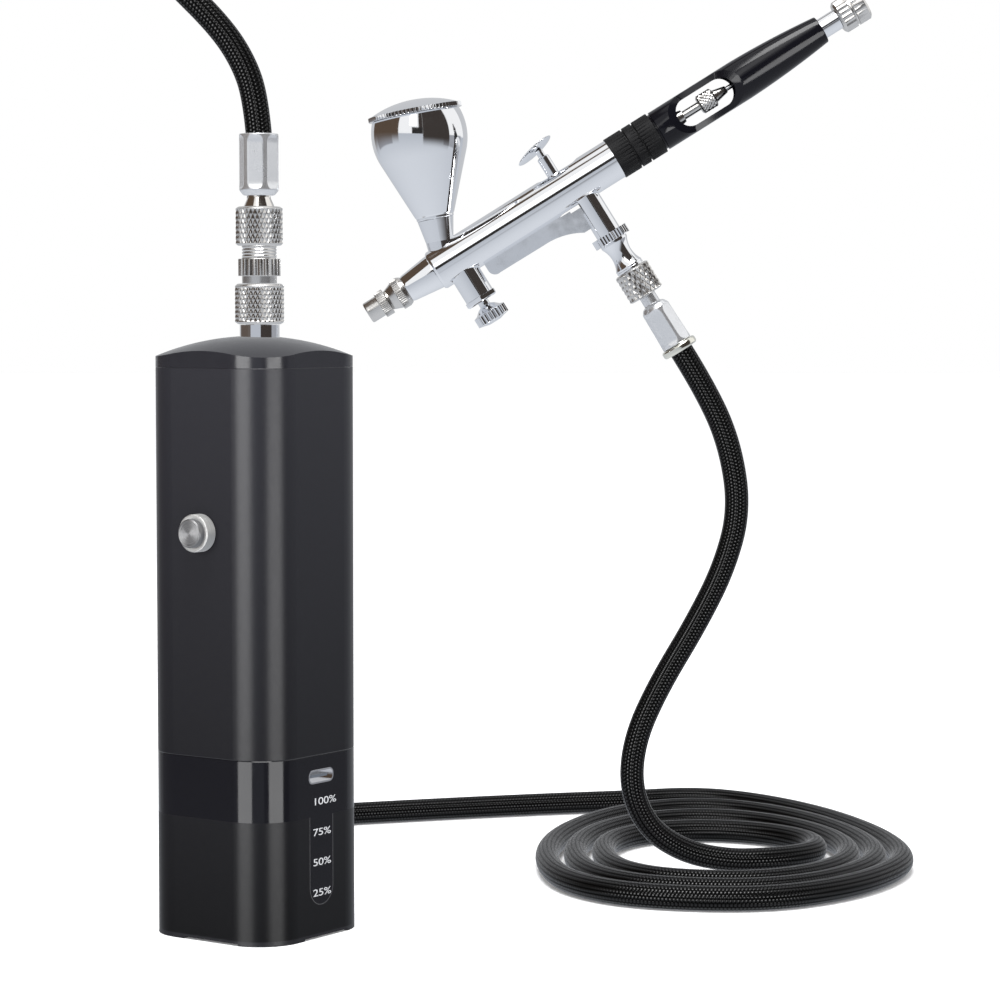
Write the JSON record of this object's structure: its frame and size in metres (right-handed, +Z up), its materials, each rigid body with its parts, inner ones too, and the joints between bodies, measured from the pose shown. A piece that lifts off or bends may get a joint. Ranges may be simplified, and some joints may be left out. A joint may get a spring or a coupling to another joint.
{
  "type": "airbrush compressor",
  "caption": "Handheld battery airbrush compressor with braided hose and gravity-feed airbrush",
  "frame": {"origin": "middle of the compressor's base, on the floor", "axes": "+Z up along the compressor; +X towards the coil and the airbrush, +Y away from the front corner of the compressor"},
  "size_m": [0.2247, 0.2159, 0.2641],
  "materials": {
    "satin_black": "satin black shell",
    "gloss_black": "polished black shell",
    "base_black": "fine-grained black",
    "chrome": "mirror chrome plate",
    "nickel": "warm nickel plate",
    "steel": "turned steel",
    "needle_steel": "ground steel",
    "brass": "plain brass",
    "handle_black": "black anodised",
    "hose_braid": "glossy black braid",
    "seal_rubber": "soft rubber",
    "board_green": "circuit board",
    "cell_wrap": "shrink wrap",
    "ptfe": "white bearing plastic",
    "clear_tube": "silicone",
    "pump_alloy": "die cast",
    "usb_steel": "pressed steel",
    "usb_black": "moulded",
    "spring_steel": "spring wire"
  },
  "bodies": {
    "main": {"air_control_seat": "chrome", "air_tube": "clear_tube", "airbrush_body": "chrome", "airbrush_head": "chrome", "base_plate": "base_black", "base_screws": "steel", "battery_cells": "cell_wrap", "battery_collar": "gloss_black", "battery_housing": "satin_black", "body_sleeve": "satin_black", "button_bezel": "steel", "button_spring": "spring_steel", "button_switch": "usb_black", "chassis": "pump_alloy", "coupling_adapter": "chrome", "ferrule_airbrush": "chrome", "ferrule_outlet": "chrome", "grip_collar": "handle_black", "handle": "handle_black", "hose_coil": "hose_braid", "hose_riser": "hose_braid", "hose_supply_run": "hose_braid", "hose_tail_outlet": "nickel", "level_board": "board_green", "main_board": "board_green", "motor": "steel", "needle_packing": "ptfe", "needle_spring": "spring_steel", "nozzle": "brass", "nozzle_cap": "chrome", "outlet_seal": "seal_rubber", "outlet_stem": "chrome", "paint_cup": "chrome", "preset_bush": "chrome", "pump_housing": "pump_alloy", "quick_adapter": "chrome", "spring_case": "brass", "top_cap": "gloss_black", "usb_shell": "usb_steel", "usb_tongue": "usb_black", "valve_casing": "chrome", "valve_spring": "spring_steel"},
    "power_button": {"power_button": "steel"},
    "motor_rotor": {"motor_shaft": "steel"},
    "piston_assembly": {"piston": "ptfe", "connecting_rod": "steel"},
    "coupling_nut": {"coupling_nut": "chrome"},
    "outlet_hose_nut": {"hose_nut_outlet": "nickel"},
    "crown_cap": {"crown_cap": "chrome"},
    "lid": {"cup_lid": "chrome"},
    "air_control": {"air_control_knob": "chrome"},
    "trigger_rocker": {"trigger_sleeve": "chrome"},
    "trigger": {"trigger": "chrome"},
    "needle_assembly": {"needle": "needle_steel", "back_lever": "brass", "needle_tube": "brass", "chuck_nut": "nickel"},
    "air_plunger": {"air_plunger": "brass"},
    "preset": {"preset_knob": "chrome"},
    "brush_hose_nut": {"hose_nut_airbrush": "chrome"}
  },
  "joints": [
    {"name": "power_button_press", "type": "slide", "parent": "main", "child": "power_button", "axis": [0.5736, 0.8192, 0], "range_m": [0, 0.0012], "stiffness_N_per_m": 400, "springref_m": -0.0008, "deforming": ["button_spring"]},
    {"name": "motor_spin", "type": "hinge", "parent": "main", "child": "motor_rotor", "pos_m": [-0.0018, 0.00614, 0.08], "axis": [0, 0, 1], "continuous": true},
    {"name": "piston_stroke", "type": "slide", "parent": "main", "child": "piston_assembly", "axis": [0.8192, -0.5736, 0], "range_m": [-0.0016, 0.0016]},
    {"name": "coupling_nut_spin", "type": "hinge", "parent": "main", "child": "coupling_nut", "pos_m": [0.0013, 0, 0.154], "axis": [0, 0, 1], "continuous": true},
    {"name": "outlet_hose_nut_spin", "type": "hinge", "parent": "main", "child": "outlet_hose_nut", "pos_m": [0.0013, 0, 0.173], "axis": [0, 0, 1], "continuous": true},
    {"name": "crown_cap_spin", "type": "hinge", "parent": "main", "child": "crown_cap", "pos_m": [0.02704, 0.08, 0.15309], "axis": [0.848, 0, 0.5299], "continuous": true},
    {"name": "lid_lift", "type": "slide", "parent": "main", "child": "lid", "axis": [-0.1891, 0, 0.982], "range_m": [0, 0.02]},
    {"name": "air_control_spin", "type": "hinge", "parent": "main", "child": "air_control", "pos_m": [0.05778, 0.08, 0.15107], "axis": [-0.5299, 0, 0.848], "continuous": true},
    {"name": "trigger_pull", "type": "hinge", "parent": "main", "child": "trigger_rocker", "pos_m": [0.07796, 0.08, 0.18314], "axis": [0, 1, 0], "range_deg": [0, 22]},
    {"name": "trigger_press", "type": "slide", "parent": "trigger_rocker", "child": "trigger", "axis": [0.5299, 0, -0.848], "range_m": [0, 0.0016], "stiffness_N_per_m": 400, "springref_m": -0.001},
    {"name": "needle_travel", "type": "slide", "parent": "main", "child": "needle_assembly", "axis": [0.848, 0, 0.5299], "range_m": [0, 0.00288], "stiffness_N_per_m": 300, "springref_m": -0.001, "deforming": ["needle_spring"]},
    {"name": "air_plunger_travel", "type": "slide", "parent": "main", "child": "air_plunger", "axis": [0.5299, 0, -0.848], "range_m": [0, 0.0016], "deforming": ["valve_spring"]},
    {"name": "preset_spin", "type": "hinge", "parent": "main", "child": "preset", "pos_m": [0.15171, 0.08, 0.23099], "axis": [0.848, 0, 0.5299], "continuous": true},
    {"name": "brush_hose_nut_spin", "type": "hinge", "parent": "main", "child": "brush_hose_nut", "pos_m": [0.09724, 0.08, 0.1604], "axis": [-0.5299, 0, 0.848], "continuous": true}
  ],
  "couplings": [
    {"joint": "trigger_pull", "follows": "needle_travel", "rad_per_m": 133},
    {"joint": "air_plunger_travel", "follows": "trigger_press", "ratio": 1}
  ]
}
